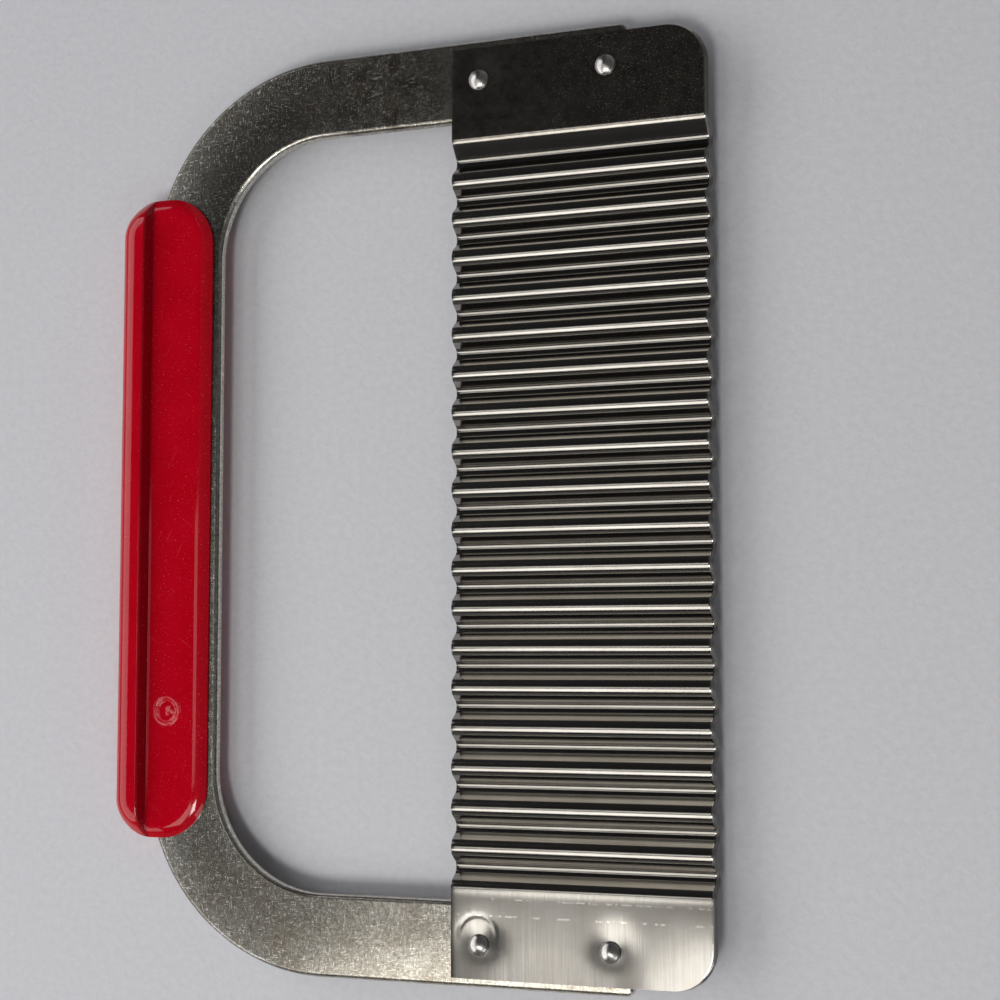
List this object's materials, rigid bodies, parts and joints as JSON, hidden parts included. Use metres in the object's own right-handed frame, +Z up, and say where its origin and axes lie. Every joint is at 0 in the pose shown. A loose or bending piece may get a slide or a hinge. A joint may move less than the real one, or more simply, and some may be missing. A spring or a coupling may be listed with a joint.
{
  "type": "crinkle cutter",
  "caption": "Hand-held crinkle cutter: a corrugated steel blade riveted across the legs of a bent flat-bar frame, with a moulded red grip along the frame's back.",
  "frame": {"origin": "middle of the underside of the tool's bounding box, lying flat with the crests up", "axes": "+X from the grip to the cutting edge, +Y along the row of crests, +Z up"},
  "size_m": [0.1202, 0.175, 0.01],
  "materials": {
    "frame_steel": "dull plated flat bar, finely speckled",
    "blade_steel": "polished sheet with fine draw lines",
    "rivet_steel": "bright domed heads",
    "red_plastic": "glossy deep red moulding, lightly scratched"
  },
  "bodies": {
    "root": {"handle_frame": "frame_steel", "crinkle_blade": "blade_steel", "grip": "red_plastic", "left_inner_rivet": "rivet_steel", "left_outer_rivet": "rivet_steel", "right_inner_rivet": "rivet_steel", "right_outer_rivet": "rivet_steel"}
  },
  "joints": []
}
